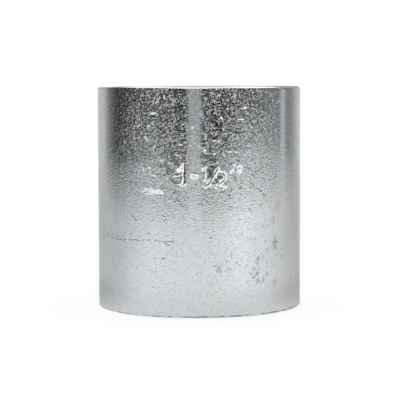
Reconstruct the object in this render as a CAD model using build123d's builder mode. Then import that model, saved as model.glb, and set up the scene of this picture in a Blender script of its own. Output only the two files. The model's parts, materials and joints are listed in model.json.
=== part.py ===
from build123d import *
import os

# Steel conduit coupling of the 1 1/2 trade size, in millimetres.
# It stands on one end: the origin is the middle of the lower end face and +Z runs along the bore.

# Driving dimensions of the straight pipe thread that is tapped right through the tube
inch = 25.4
threads_per_inch = 11.5
pitch_diameter = 1.8223 * inch
thread_depth_per_pitch = 0.8

# Driving dimensions of the tube
coupling_length = 59.1
wall_outside_thread = 3.342
outer_edge_round = 0.5

# Driving dimensions of the countersunk mouths, which lead the conduit into the thread
mouth_lead = 0.6
mouth_slope = 45

# The thread's crests stay at the diameter that the tube is bored to, and its root lies in the wall
thread_pitch = inch / threads_per_inch
thread_depth = thread_depth_per_pitch * thread_pitch
bore_diameter = pitch_diameter - thread_depth
root_diameter = pitch_diameter + thread_depth

# 54.7 mm, which is the 2.155 in of couplings for this trade size
outside_diameter = root_diameter + 2 * wall_outside_thread

# The mouth is countersunk past the root, so that no thread starts on the end face
mouth_diameter = root_diameter + 2 * mouth_lead
mouth_widening = (mouth_diameter - bore_diameter) / 2

with BuildPart() as coupling:
    # The blank is a length of tube, bored through
    with BuildSketch() as tube_section:
        Circle(outside_diameter / 2)
        Circle(bore_diameter / 2, mode=Mode.SUBTRACT)
    extrude(amount=coupling_length)

    # Both ends are countersunk inside, and their sharp edge is broken outside
    for end_face in coupling.faces().filter_by(GeomType.PLANE):
        bore_edge, outer_edge = end_face.edges().sort_by(SortBy.RADIUS)
        chamfer(bore_edge, length=mouth_widening, angle=mouth_slope, reference=end_face)
        fillet(outer_edge, radius=outer_edge_round)

coupling.part.label = "coupling"

os.makedirs("parts", exist_ok=True)
export_step(coupling.part, "parts/coupling.step")
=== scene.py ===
import json
import math
import bmesh
import bpy
import numpy as np
from mathutils import Matrix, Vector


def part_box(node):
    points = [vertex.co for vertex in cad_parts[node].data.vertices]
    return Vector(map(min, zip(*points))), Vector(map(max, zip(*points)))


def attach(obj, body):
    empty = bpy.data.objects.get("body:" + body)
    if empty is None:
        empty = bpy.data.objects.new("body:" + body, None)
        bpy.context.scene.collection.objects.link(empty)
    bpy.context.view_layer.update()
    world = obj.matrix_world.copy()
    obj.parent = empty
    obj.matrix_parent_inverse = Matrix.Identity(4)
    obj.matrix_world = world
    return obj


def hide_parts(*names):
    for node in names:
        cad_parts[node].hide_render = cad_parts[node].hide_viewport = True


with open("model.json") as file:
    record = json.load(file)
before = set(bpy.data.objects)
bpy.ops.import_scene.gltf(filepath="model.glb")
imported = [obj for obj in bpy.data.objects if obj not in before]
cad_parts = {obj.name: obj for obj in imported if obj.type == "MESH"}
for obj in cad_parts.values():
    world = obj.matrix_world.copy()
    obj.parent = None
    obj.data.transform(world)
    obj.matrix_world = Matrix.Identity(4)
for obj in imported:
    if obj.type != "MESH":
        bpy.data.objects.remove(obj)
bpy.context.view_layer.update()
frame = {"record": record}

mm = 0.001
turn = 2 * math.pi

# The tube's sizes come from the frame: its box, and the crest radius that its thread mounts state
lowCorner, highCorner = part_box("coupling")
threadMount = frame["record"]["mounts"][0]

tube = {
    "radius": (highCorner.x - lowCorner.x) / 2,
    "length": highCorner.z,
    "crestRadius": threadMount["dims"]["r_mm"] * mm,
    "mouthDepth": highCorner.z - threadMount["pos_m"][2],
    "edgeRound": 0.45 * mm,        # the sawn edge's rounding, which comes and goes along the edge
    "edgeUneven": 0.26 * mm,
    "edgeLeast": 0.15 * mm,
    # Waves round the lower and the upper edge: how many, how high in shares of edgeUneven, phase
    "edgeWaves": [
        [(1, 0.6, 0.0), (5, 0.25, 1.3), (11, 0.15, 0.0), (43, 0.20, 0.0), (67, 0.16, 1.0)],
        [(1, 1.1, 0.0), (5, 0.25, 2.3), (11, 0.15, 2.1)],
    ],
    "edgeSteps": 7,
    "faceRings": (0.3, 0.6, 0.9),  # shares of the way from the rounded edge in to the mouth
    "skin": 0.05 * mm,             # the wall is this far inside the box, so that no burr leaves it
    "sinkAll": 0.08 * mm,          # the upper end lies this far below its highest point
    "sinkLeft": 0.18 * mm,         # and this much further down at its left
    "sinkFrom": 6 * mm,            # the metal gives way over this length
    "leftFrom": 0.68,              # the left begins this many radii out and is full leftOver further
    "leftOver": 0.28,
    "highAt": 0.38,                # its highest point is this many radii right of the axis, at the back
    "highReach": 0.24,
}
tube["mouthRadius"] = tube["crestRadius"] + tube["mouthDepth"]     # the mouth's cone stands at 45 degrees

wall = {
    "cellsRound": 224,
    "cellsUp": 76,
    "finer": 6,                    # a cell that a mark touches is divided this many times each way
    "markRoom": 0.75,              # a mark touches a cell within this many cells of its middle
    "thinRow": 0.05 * mm,
    "plainEdge": 0.6 * mm,         # no mark or unevenness reaches this close to an end
    "plainFade": 2 * mm,
    "wave": 0.010 * mm,            # height of the long unevenness left by the tube mill
    "waves": 26,
    "wavesRound": (2, 22),         # each comes at least 2 and fewer than 22 times round the tube
    "waveSlant": 22,               # radians of phase in one tube radius of height, up or down
    "waveFade": 6,                 # and is divided by that number plus this
    "seed": 11,
}


def smoothStep(x):
    # 0 below 0, 1 above 1, and 3x^2 - 2x^3 between them
    x = np.clip(x, 0, 1)
    return x * x * (3 - 2 * x)


def sines(angle, waves):
    # A sum of sines round the tube, each from its number of waves, its height and its phase
    return sum(height * np.sin(count * angle + phase) for count, height, phase in waves)


# Marks on the wall
# Places on the wall are in mm: along its surface to the right of the front line, and up from the lower end.


def distanceToLine(points, along, up):
    # The least distance from each place to the straight runs between the points
    best = np.full(along.shape, 1e9)
    for (x0, y0), (x1, y1) in zip(points[:-1], points[1:]):
        dx, dy = x1 - x0, y1 - y0
        share = np.clip(((along - x0) * dx + (up - y0) * dy) / (dx * dx + dy * dy), 0, 1)
        best = np.minimum(best, np.hypot(along - x0 - share * dx, up - y0 - share * dy))
    return best


# The size stamp, 1-1/2 with an inch mark, struck unevenly by hand: each line has its points and its width
sizeStamp = {
    "depth": 0.09,
    "grooves": [
        ([(-3.93, 39.50), (-4.05, 34.23)], 0.55),
        ([(-4.06, 39.17), (-5.01, 38.40), (-5.66, 37.73)], 0.60),
        ([(1.75, 38.66), (1.62, 35.40)], 0.45),
        ([(4.82, 38.42), (2.35, 34.28)], 0.60),
        ([(4.56, 36.49), (4.87, 37.05), (5.42, 37.32), (6.07, 37.31), (6.65, 36.91), (6.83, 36.30),
          (6.54, 35.64), (5.75, 34.89), (4.86, 34.14)], 0.62),
        ([(4.40, 33.64), (6.80, 33.49)], 0.60),
        ([(9.33, 39.10), (9.11, 38.24), (8.57, 37.59)], 0.60),
        ([(10.82, 38.60), (10.70, 37.99), (10.26, 37.29)], 0.60),
    ],
    # Metal pushed up and rubbed bright: points, width, how bright
    "bright": [
        ([(-4.10, 39.58), (-4.30, 34.18)], 0.40, 1.0),
        ([(-4.10, 39.20), (-5.00, 38.50), (-5.60, 37.85)], 0.55, 1.0),
        ([(-5.60, 37.68), (-4.68, 37.64)], 0.50, 1.0),
        ([(-4.50, 38.25), (-5.20, 37.95)], 0.50, 0.8),
        ([(-6.98, 36.37), (-5.15, 36.47)], 0.34, 0.5),
        ([(-5.03, 34.40), (-4.54, 33.92), (-3.77, 33.90), (-3.41, 34.39)], 0.50, 1.0),
        ([(1.72, 38.76), (1.08, 38.51), (0.63, 38.00), (0.88, 37.75), (1.34, 38.00)], 0.36, 0.9),
        ([(1.70, 38.66), (1.56, 35.40)], 0.28, 0.9),
        ([(1.08, 35.48), (1.53, 35.17), (2.14, 35.32)], 0.36, 0.9),
        ([(5.12, 38.24), (2.65, 34.10)], 0.30, 1.0),
        ([(4.52, 38.60), (2.05, 34.46)], 0.30, 1.0),
        ([(0.82, 34.13), (1.07, 33.62), (1.78, 33.49), (2.40, 33.87), (3.11, 34.06)], 0.34, 0.8),
        ([(6.50, 33.50), (6.95, 33.50)], 0.55, 1.0),
        ([(9.38, 39.15), (9.20, 38.50), (8.85, 37.60)], 0.38, 0.75),
        ([(10.05, 38.65), (10.60, 39.10), (11.20, 38.70), (10.95, 37.60)], 0.28, 0.85),
        ([(8.80, 37.65), (8.45, 37.45)], 1.15, 0.66),
        ([(10.75, 37.50), (10.30, 37.30)], 1.15, 0.66),
    ],
    # A bright outline at this distance round the line, about a greyer core: points, distance, how bright
    "outlined": [
        ([(4.56, 36.49), (4.87, 37.05), (5.42, 37.32), (6.07, 37.31), (6.65, 36.91), (6.83, 36.30),
          (6.54, 35.64), (5.75, 34.89), (4.86, 34.14)], 0.38, 1.0),
        ([(4.40, 33.64), (6.60, 33.50)], 0.34, 0.9),
        ([(-1.72, 36.38), (-0.62, 36.38)], 0.50, 1.0),
    ],
    # Near-black colour, a painted reflection of the dark room and painted shade beside the struck lines:
    # points, width, how dark
    "dark": [
        ([(2.45, 38.00), (3.20, 37.00), (2.90, 36.20)], 1.00, 0.88),
        ([(3.20, 38.90), (4.20, 38.75)], 0.80, 0.85),
        ([(4.95, 36.25), (5.75, 36.15)], 0.85, 0.90),
        ([(4.30, 35.40), (4.80, 34.80)], 0.55, 0.95),
        ([(0.80, 41.50), (2.50, 41.00), (4.00, 40.50)], 1.10, 0.50),
        ([(-6.90, 41.30), (-5.60, 40.30)], 1.10, 0.45),
        ([(-9.00, 39.50), (-7.80, 38.20)], 0.80, 0.45),
        ([(-5.00, 42.60), (-3.40, 42.30)], 0.80, 0.50),
        # painted shadow on the right of the 1's stem
        ([(-3.68, 39.32), (-3.77, 34.59)], 0.36, 1.0),
        ([(-6.24, 37.04), (-5.28, 36.92), (-4.37, 37.24)], 0.34, 0.9),
        ([(-7.16, 36.44), (-7.09, 35.53), (-6.41, 34.75), (-5.52, 34.63), (-4.79, 35.09)], 0.34, 0.8),
        ([(4.82, 38.42), (2.35, 34.28)], 0.06, 0.9),
        ([(2.23, 36.92), (2.58, 36.77), (3.12, 37.12), (3.17, 37.63), (2.76, 37.78)], 0.16, 1.0),
        ([(5.28, 36.07), (6.01, 35.91)], 0.30, 1.0),
        ([(4.40, 34.71), (4.87, 35.06)], 0.36, 1.0),
        ([(2.77, 38.90), (3.73, 38.36), (4.47, 38.67)], 0.24, 1.0),
        ([(2.14, 37.53), (2.67, 38.06), (3.51, 37.84), (3.72, 37.10)], 0.18, 1.0),
        ([(2.03, 36.33), (2.98, 36.05), (3.51, 36.47)], 0.24, 1.0),
        ([(4.36, 35.51), (5.33, 36.44), (6.08, 35.90)], 0.22, 1.0),
        ([(4.36, 34.77), (5.11, 34.54)], 0.28, 0.8),
        ([(-8.44, 38.02), (-7.83, 36.66)], 0.34, 0.8),
        ([(0.56, 39.97), (1.51, 39.33)], 0.30, 0.7),
        ([(3.09, 39.84), (4.16, 40.36)], 0.30, 0.7),
        ([(6.09, 38.86), (6.41, 38.32)], 0.30, 0.7),
        ([(-10.02, 39.05), (-8.22, 38.66)], 0.28, 0.6),
        ([(-5.80, 39.11), (-4.94, 39.54)], 0.30, 0.7),
        ([(-2.18, 37.34), (0.13, 37.12)], 0.26, 0.7),
        ([(-4.99, 29.08), (-3.81, 28.81)], 0.22, 0.6),
        ([(-0.31, 29.42), (0.74, 29.20)], 0.22, 0.6),
        ([(-5.84, 30.55), (-4.87, 30.03)], 0.22, 0.6),
        ([(-6.71, 32.08), (-5.84, 33.04)], 0.30, 0.9),
        ([(-14.10, 33.60), (-13.25, 33.32)], 0.36, 0.9),
        ([(-9.10, 32.30), (-8.90, 32.25)], 0.46, 0.7),
        ([(12.90, 43.60), (13.45, 43.60)], 0.25, 0.7),
        ([(9.00, 53.00), (9.60, 53.10)], 0.30, 0.9),
        ([(-6.20, 41.45), (-5.40, 41.38)], 0.28, 0.8),
        ([(-5.10, 43.96), (-4.40, 43.96)], 0.24, 0.6),
    ],
    # Small dark flecks, painted near black: middle along and up
    "pits": [
        (6.6, 53.7), (7.2, 52.9), (5.7, 52.6), (6.8, 50.4), (3.5, 57.0), (-7.1, 47.9), (-3.8, 48.2),
        (1.4, 52.0), (-8.0, 37.4), (-6.8, 37.5), (-16.0, 48.9), (-13.9, 53.1), (-9.9, 46.2), (9.6, 47.6),
    ],
}

# Scrapes: middle along and up, half length, half height, slope in degrees, how bright
scrapes = [
    (-11.6, 32.45, 3.0, 0.66, -9, 0.85), (-13.4, 32.85, 1.8, 0.72, -14, 0.7),
    (-12.4, 31.85, 2.7, 0.30, 3, 0.6), (-14.9, 32.45, 1.0, 0.30, 14, 0.6),
    (-11.0, 55.2, 0.85, 0.20, 12, 0.8), (-12.0, 52.3, 1.05, 0.30, 12, 0.9),
    (-16.5, 49.1, 0.75, 0.17, 12, 0.8), (-13.3, 49.1, 0.66, 0.24, -8, 0.8),
    (-14.1, 45.8, 1.20, 0.16, -42, 0.5), (-11.9, 43.7, 1.00, 0.18, 62, 0.6),
    (-21.3, 44.9, 0.70, 0.16, -38, 0.6), (-9.9, 40.2, 0.60, 0.20, -42, 0.7),
    (-13.2, 38.4, 0.67, 0.30, -22, 0.9), (-15.0, 37.8, 0.34, 0.26, -17, 0.9),
    (-17.5, 39.1, 0.25, 0.22, -30, 0.6), (-12.2, 36.5, 1.25, 0.20, 0, 0.5),
    (-12.8, 34.6, 0.51, 0.14, -41, 0.9), (-11.3, 34.6, 0.51, 0.14, -28, 0.7),
    (-10.1, 34.4, 0.31, 0.20, 48, 0.8), (-20.7, 48.1, 0.40, 0.20, 25, 0.5),
    (-4.8, 44.3, 0.69, 0.16, 0, 0.9), (-5.6, 41.7, 0.70, 0.16, -2, 1.0),
    (-4.7, 41.0, 0.29, 0.26, -20, 1.0), (-2.2, 44.1, 0.32, 0.24, -51, 0.7),
    (-1.6, 48.8, 0.35, 0.45, 0, 0.6), (0.2, 43.9, 0.28, 0.26, -16, 0.7),
    (1.5, 43.0, 0.42, 0.42, -21, 0.85), (1.6, 42.1, 0.36, 0.20, -75, 0.7),
    (3.9, 42.1, 0.36, 0.24, 47, 0.9), (4.1, 45.4, 0.62, 0.20, 2, 0.9), (5.1, 45.1, 0.63, 0.18, -28, 0.7),
    (5.8, 51.2, 0.64, 0.20, -47, 1.0), (11.0, 50.7, 1.03, 0.16, -6, 0.8),
    (8.0, 42.4, 0.61, 0.20, -5, 1.0), (9.9, 42.4, 0.66, 0.16, 0, 0.6), (5.2, 56.9, 0.35, 0.22, -41, 0.7),
    (4.0, 55.4, 0.25, 0.22, -38, 0.8), (9.5, 57.0, 0.55, 0.18, 38, 0.6), (7.3, 53.5, 0.34, 0.20, 15, 0.8),
    (12.2, 53.7, 0.44, 0.34, -20, 0.85), (21.1, 55.3, 0.31, 0.20, 10, 0.6),
    (23.7, 55.2, 0.40, 0.24, -21, 0.6), (13.2, 43.9, 0.38, 0.18, 4, 0.7),
    (25.5, 44.2, 0.39, 0.20, 43, 0.35), (-7.5, 29.8, 0.27, 0.20, 38, 0.6),
    (-21.2, 31.4, 0.45, 0.14, -10, 0.6), (-5.5, 33.3, 0.52, 0.14, 4, 0.7),
    (-9.0, 56.3, 0.30, 0.36, 60, 0.6), (-13.8, 57.6, 0.45, 0.18, 55, 0.5),
]

# Scratches: points, width, depth, dirt held in them
scratches = [
    ([(-27.7, 19.8), (-25.8, 19.6), (-24.3, 19.5), (-22.7, 19.5), (-21.0, 19.6)], 0.26, 0.020, 0.7),
    ([(-20.0, 19.7), (-18.9, 19.8), (-17.1, 19.8), (-16.4, 19.6)], 0.24, 0.020, 0.7),
    ([(-15.9, 19.6), (-15.3, 19.8), (-14.4, 19.9), (-12.8, 20.1)], 0.20, 0.020, 0.55),
    ([(-12.0, 19.7), (-11.6, 19.9), (-10.7, 19.9), (-10.0, 19.9)], 0.22, 0.020, 0.65),
    ([(-9.4, 19.7), (-8.8, 19.3), (-7.8, 18.9)], 0.26, 0.030, 0.9),
    ([(-8.7, 19.8), (-6.8, 19.8)], 0.20, 0.020, 0.55),
    ([(-18.9, 26.1), (-18.1, 25.4), (-17.2, 24.9)], 0.24, 0.030, 0.9),
    ([(-25.3, 22.1), (-24.2, 22.8)], 0.24, 0.010, 0.4),
    ([(-21.8, 21.3), (-21.0, 21.5)], 0.24, 0.010, 0.5),
    ([(-20.5, 23.8), (-19.1, 23.8)], 0.22, 0.010, 0.4),
    ([(-14.1, 21.8), (-13.5, 21.5)], 0.28, 0.020, 0.6),
    ([(-9.8, 26.5), (-9.0, 26.2)], 0.26, 0.020, 0.6),
    ([(-9.2, 25.3), (-8.6, 25.4)], 0.26, 0.020, 0.55),
    ([(-9.9, 15.1), (-9.1, 15.5)], 0.30, 0.030, 1.0),
    ([(-19.8, 13.4), (-19.0, 13.2), (-18.0, 13.2)], 0.24, 0.010, 0.5),
    ([(-17.6, 12.2), (-16.9, 12.6)], 0.26, 0.010, 0.55),
    ([(-17.8, 16.4), (-16.3, 16.6)], 0.20, 0.010, 0.3),
    ([(-18.9, 17.7), (-18.0, 17.7)], 0.26, 0.010, 0.35),
    ([(-7.3, 31.7), (-8.2, 30.6)], 0.26, 0.020, 0.5),
    ([(7.8, 27.8), (8.4, 28.0)], 0.26, 0.020, 0.5),
    ([(7.9, 29.0), (8.8, 28.6), (10.0, 28.6), (10.9, 29.4), (11.1, 29.8)], 0.20, 0.015, 0.35),
    ([(13.2, 28.0), (13.9, 27.6)], 0.28, 0.030, 0.8),
    ([(13.9, 29.2), (15.7, 29.1), (17.8, 29.1)], 0.20, 0.010, 0.3),
    ([(10.1, 20.6), (11.1, 19.8)], 0.22, 0.010, 0.35),
    ([(15.0, 33.5), (16.2, 33.1), (17.5, 32.3), (18.5, 31.4)], 0.26, 0.030, 0.3),
    ([(17.4, 31.7), (18.9, 30.9)], 0.24, 0.030, 0.35),
    ([(17.3, 23.2), (18.2, 23.9)], 0.30, 0.020, 0.55),
    ([(18.4, 22.6), (19.5, 23.5)], 0.30, 0.010, 0.4),
    ([(21.4, 24.2), (21.5, 22.2), (21.4, 19.9)], 0.30, 0.010, 0.25),
    ([(24.1, 17.1), (25.2, 16.7)], 0.26, 0.010, 0.5),
    ([(26.2, 7.4), (27.6, 8.0)], 0.26, 0.010, 0.3),
    ([(13.6, 6.3), (13.7, 5.4), (13.7, 4.6)], 0.28, 0.010, 0.4),
    ([(14.0, 3.5), (14.2, 3.0)], 0.26, 0.010, 0.4),
    ([(3.0, 6.1), (3.5, 5.7)], 0.26, 0.010, 0.35),
    ([(4.3, 4.2), (5.0, 3.8)], 0.24, 0.010, 0.3),
    ([(9.3, 7.4), (10.0, 6.8), (10.7, 6.5), (11.5, 6.4)], 0.20, 0.010, 0.25),
    ([(4.3, 1.6), (5.0, 1.6)], 0.26, 0.010, 0.35),
    ([(3.0, 16.5), (3.9, 16.8)], 0.22, 0.010, 0.3),
    ([(3.6, 16.3), (4.7, 16.7)], 0.22, 0.010, 0.3),
    ([(-32.9, 0.7), (-34.2, 3.2)], 0.26, 0.010, 0.35),
    ([(-27.2, 5.2), (-27.3, 2.2)], 0.28, 0.010, 0.3),
    ([(-24.1, 2.1), (-24.0, 0.6)], 0.26, 0.010, 0.35),
]

# Stains where the plating has dulled: middle along and up, reach along and up, darkness
stains = [
    (22.1, 18.4, 0.75, 1.2, 0.85), (21.4, 17.7, 0.45, 0.6, 0.5), (19.2, 17.0, 0.5, 0.3, 0.5),
    (19.1, 16.3, 0.3, 0.45, 0.45), (16.1, 14.3, 0.4, 0.9, 0.75), (16.4, 14.9, 0.4, 0.3, 0.5),
    (15.6, 13.8, 0.65, 0.5, 0.35), (5.2, 13.0, 0.55, 0.55, 0.65), (4.7, 12.4, 0.4, 0.55, 0.65),
    (5.5, 11.9, 0.5, 0.3, 0.45), (4.0, 13.4, 0.5, 0.25, 0.5), (5.7, 14.0, 0.45, 0.35, 0.3),
    (7.7, 12.3, 0.4, 0.35, 0.55), (7.4, 12.8, 0.3, 0.35, 0.4), (6.8, 12.2, 0.4, 0.35, 0.35),
    (7.1, 14.6, 0.3, 0.3, 0.5), (9.7, 14.0, 0.28, 0.28, 0.55), (10.6, 13.6, 0.4, 0.25, 0.35),
    (8.6, 16.1, 0.5, 0.9, 0.3), (14.9, 12.3, 0.55, 0.45, 0.65), (14.2, 12.2, 0.4, 0.3, 0.6),
    (16.1, 12.0, 0.35, 0.6, 0.45), (13.9, 11.1, 0.5, 0.28, 0.75), (15.8, 10.9, 0.5, 0.35, 0.75),
    (14.8, 10.1, 0.55, 0.35, 0.7), (16.0, 9.3, 0.45, 0.5, 0.7), (15.7, 8.6, 0.4, 0.45, 0.7),
    (17.8, 9.8, 0.4, 0.5, 0.5), (17.0, 8.8, 0.5, 0.35, 0.7), (17.8, 9.1, 0.4, 0.35, 0.6),
    (19.0, 13.8, 0.35, 0.4, 0.5), (19.0, 12.6, 0.4, 0.25, 0.4), (19.0, 10.6, 0.4, 0.5, 0.6),
    (17.6, 14.4, 0.4, 0.8, 0.35), (21.9, 8.4, 0.65, 0.5, 0.7), (21.9, 7.4, 0.3, 0.3, 0.5),
    (13.2, 9.2, 0.5, 0.3, 0.45), (17.1, 15.9, 0.3, 0.3, 0.5), (17.9, 15.5, 0.3, 0.25, 0.6),
    (6.4, 23.6, 0.28, 0.25, 0.6), (10.6, 25.2, 0.28, 0.28, 0.5), (17.0, 28.4, 0.4, 0.3, 0.4),
    (11.2, 21.3, 0.4, 0.5, 0.4), (14.9, 20.1, 0.3, 0.3, 0.45), (13.8, 20.1, 0.3, 0.25, 0.4),
    (12.8, 19.7, 0.3, 0.2, 0.4), (21.2, 24.6, 0.7, 0.8, 0.4), (22.5, 27.7, 0.6, 0.9, 0.35),
    (23.4, 28.6, 0.4, 0.6, 0.3), (26.8, 29.5, 0.5, 0.3, 0.35), (28.5, 16.6, 0.3, 0.3, 0.35),
    (22.3, 15.2, 0.35, 0.3, 0.35), (24.4, 14.7, 0.25, 0.6, 0.35), (29.5, 8.6, 0.5, 0.6, 0.35),
    (-29.5, 20.2, 0.8, 0.45, 0.5), (-27.1, 20.5, 0.5, 0.5, 0.35), (-32.3, 19.4, 0.5, 0.9, 0.35),
    (-23.1, 15.2, 0.5, 0.6, 0.25), (-19.4, 21.0, 0.3, 0.5, 0.35), (2.7, 9.0, 0.6, 0.3, 0.25),
    (-6.7, 19.9, 0.3, 0.25, 0.55), (-11.7, 19.7, 0.28, 0.28, 0.45),
]


# How the marks are drawn, with lengths in mm
marks = {
    "grooveSlope": 0.70,           # shares of a line's half width that its slope takes
    "brightSlope": 0.35,
    "outlineSlope": 0.45,
    "darkSlope": 0.60,
    "scratchSlope": 0.80,
    "outlineWidth": 0.32,
    "outlineCore": 0.15,           # how bright the metal inside an outline is
    "coreSlope": 0.20,
    "darkSpread": 0.16,            # a dark line comes out this much wider
    "scrapeDepth": 0.015,
    "scrapeFull": 1.6,             # a scrape is full where its lens, times this, reaches 1
    "scrapeGain": 0.5,             # scrapes are greyer than the raised edges of the size stamp
    "scratchDark": 0.50,           # how dark a scratch is, for the dirt held in it
    "pitRadius": 0.26,
    "pitDark": 0.80,
    "pitFull": 0.40,               # a fleck is full within this share of its radius
    "pitRoom": 0.30,
    "stainFull": 0.75,             # and a stain within this share of its reach
    "stainRoom": 1.3,
    # Waves that shift the marks: radians per mm along and up, phase, height
    "shiftAlong": [(1.9, 2.3, 0.0, 0.07), (-3.1, 4.3, 1.0, 0.05)],
    "shiftUp": [(2.2, -1.7, 2.0, 0.07), (3.7, 4.9, 0.0, 0.05)],
}


def wander(along, up):
    # Places shifted a little by sums of sines, so that the marks come out as uneven as hand-made ones
    shiftAlong, shiftUp = [sum(height * np.sin(p * along + q * up + phase) for p, q, phase, height in waves)
                           for waves in (marks["shiftAlong"], marks["shiftUp"])]
    return along + shiftAlong, up + shiftUp


def lineShare(distance, width, slopeShare):
    # 1 on a line's middle and 0 at its edge, with a smooth slope that takes slopeShare of its half width
    return smoothStep((1 - distance / (width / 2)) / slopeShare)


def lensShare(lens, along, up):
    # A lens: 1 less the squares of the distances along and across it, in half lengths and half heights
    x, y, halfLength, halfHeight, slope = lens
    c, s = math.cos(math.radians(slope)), math.sin(math.radians(slope))
    p = ((along - x) * c + (up - y) * s) / halfLength
    q = ((up - y) * c - (along - x) * s) / halfHeight
    return np.clip(1 - p * p - q * q, 0, 1)


def marksAt(along, up):
    # How far each place lies out from the plain wall, in mm, and its shares of dirt, rubbed metal and
    # near-black colour, which paints the dark room's reflection and shade and also darkens dirt in
    # scratches: each is the greatest of all the marks' shares there
    along, up = wander(along, up)
    relief = np.zeros(along.shape)
    dirt = np.zeros(along.shape)
    rubbed = np.zeros(along.shape)
    dark = np.zeros(along.shape)
    for points, width in sizeStamp["grooves"]:
        share = lineShare(distanceToLine(points, along, up), width, marks["grooveSlope"])
        relief = np.minimum(relief, -sizeStamp["depth"] * share)
    for points, width, bright in sizeStamp["bright"]:
        share = lineShare(distanceToLine(points, along, up), width, marks["brightSlope"])
        rubbed = np.maximum(rubbed, bright * share)
    for points, reach, bright in sizeStamp["outlined"]:
        away = distanceToLine(points, along, up)
        share = lineShare(np.abs(away - reach), marks["outlineWidth"], marks["outlineSlope"])
        core = lineShare(away, 2 * reach, marks["coreSlope"])
        rubbed = np.maximum(rubbed, np.maximum(bright * share, marks["outlineCore"] * core))
    for points, width, strength in sizeStamp["dark"]:
        away = distanceToLine(points, along, up)
        share = lineShare(away, width + marks["darkSpread"], marks["darkSlope"])
        dark = np.maximum(dark, strength * share)
    for x, y in sizeStamp["pits"]:
        away = np.hypot(along - x, up - y) / marks["pitRadius"]
        dark = np.maximum(dark, marks["pitDark"] * smoothStep(1 + marks["pitFull"] - away))
    for *lens, bright in scrapes:
        share = lensShare(lens, along, up)
        relief -= marks["scrapeDepth"] * bright * share
        full = smoothStep(marks["scrapeFull"] * share)
        rubbed = np.maximum(rubbed, marks["scrapeGain"] * bright * full)
    rubbed *= 1 - dark
    for points, width, depth, held in scratches:
        share = lineShare(distanceToLine(points, along, up), width, marks["scratchSlope"])
        relief -= depth * share
        dirt = np.maximum(dirt, held * share)
        dark = np.maximum(dark, marks["scratchDark"] * held * share)
    for x, y, reachAlong, reachUp, strength in stains:
        away = np.hypot((along - x) / reachAlong, (up - y) / reachUp)
        dirt = np.maximum(dirt, strength * smoothStep(1 + marks["stainFull"] - away))
    return relief, dirt, rubbed, dark


def reachAt(along, up):
    # The distance from each place to the nearest mark's edge
    best = np.full(along.shape, 1e9)
    for points, width in sizeStamp["grooves"]:
        best = np.minimum(best, distanceToLine(points, along, up) - width)
    for points, width, strength in sizeStamp["bright"] + sizeStamp["dark"] + sizeStamp["outlined"]:
        best = np.minimum(best, distanceToLine(points, along, up) - width)
    for x, y in sizeStamp["pits"]:
        best = np.minimum(best, np.hypot(along - x, up - y) - marks["pitRoom"])
    for x, y, halfLength, halfHeight, slope, bright in scrapes:
        dx = halfLength * math.cos(math.radians(slope))
        dy = halfLength * math.sin(math.radians(slope))
        tips = [(x - dx, y - dy), (x + dx, y + dy)]
        best = np.minimum(best, distanceToLine(tips, along, up) - halfHeight)
    for points, width, depth, held in scratches:
        best = np.minimum(best, distanceToLine(points, along, up) - width / 2)
    for x, y, reachAlong, reachUp, strength in stains:
        room = marks["stainRoom"] * max(reachAlong, reachUp)
        best = np.minimum(best, np.hypot(along - x, up - y) - room)
    return best


def waveAt(angle, up):
    # The long unevenness: a sum of waves that close round the tube, each with its own slant and phase
    rng = np.random.default_rng(wall["seed"])
    total = np.zeros(angle.shape)
    for k in range(wall["waves"]):
        around = int(rng.integers(*wall["wavesRound"]))
        slant = rng.uniform(-wall["waveSlant"], wall["waveSlant"])
        crests = np.cos(around * angle + slant * up / tube["radius"] + rng.uniform(0, turn))
        total += crests / (wall["waveFade"] + around)
    return wall["wave"] * total


# The coupling's surface
# Every patch is worked out on a grid of its own. The patches meet at shared points, which are merged last.


def ringPoint(radius, angle, height):
    # A point from its radius, its angle to the right of the front line and its height
    return np.stack([radius * np.sin(angle), -radius * np.cos(angle), height + 0 * angle], axis=-1)


def roundingAt(angle, end):
    # The edge's rounding radius, with its waves: it is sharper on the left than on the right
    uneven = tube["edgeUneven"] * sines(angle, tube["edgeWaves"][end])
    return np.maximum(tube["edgeRound"] + uneven, tube["edgeLeast"])


def sinkAt(x, y):
    # How far the upper end lies below the box: it was sawn a little out of true, sinks towards the left side
    # and stands highest at the back, right of the middle
    across, back = x / tube["radius"], y / tube["radius"]
    left = smoothStep((-across - tube["leftFrom"]) / tube["leftOver"])
    high = smoothStep(1 - np.abs(across - tube["highAt"]) / tube["highReach"]) * smoothStep(2 * back)
    return tube["sinkAll"] * (1 - high) + tube["sinkLeft"] * left


# Painted shade along the lower edge, where the coupling stands on the table: a dirt share and a dark share
# that come and go round it
edgeShade = {
    "middle": 0.65,
    "least": 0.15,
    "waves": [(7, 0.4, 1.0), (17, 0.5, 2.0), (41, 0.5, 0.0), (73, 0.5, 4.0)],
    "dark": 0.60,                  # how dark it is
    "until": 0.69,                 # it ends this far round the edge, in radians
    "fade": 0.30,
}


def edgeShadeAt(angle):
    # Painted shade along the lower edge, which comes and goes: its middle share and its waves, 1 at the most
    share = edgeShade["middle"] + sines(angle, edgeShade["waves"])
    return np.clip(share, edgeShade["least"], 1)


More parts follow.
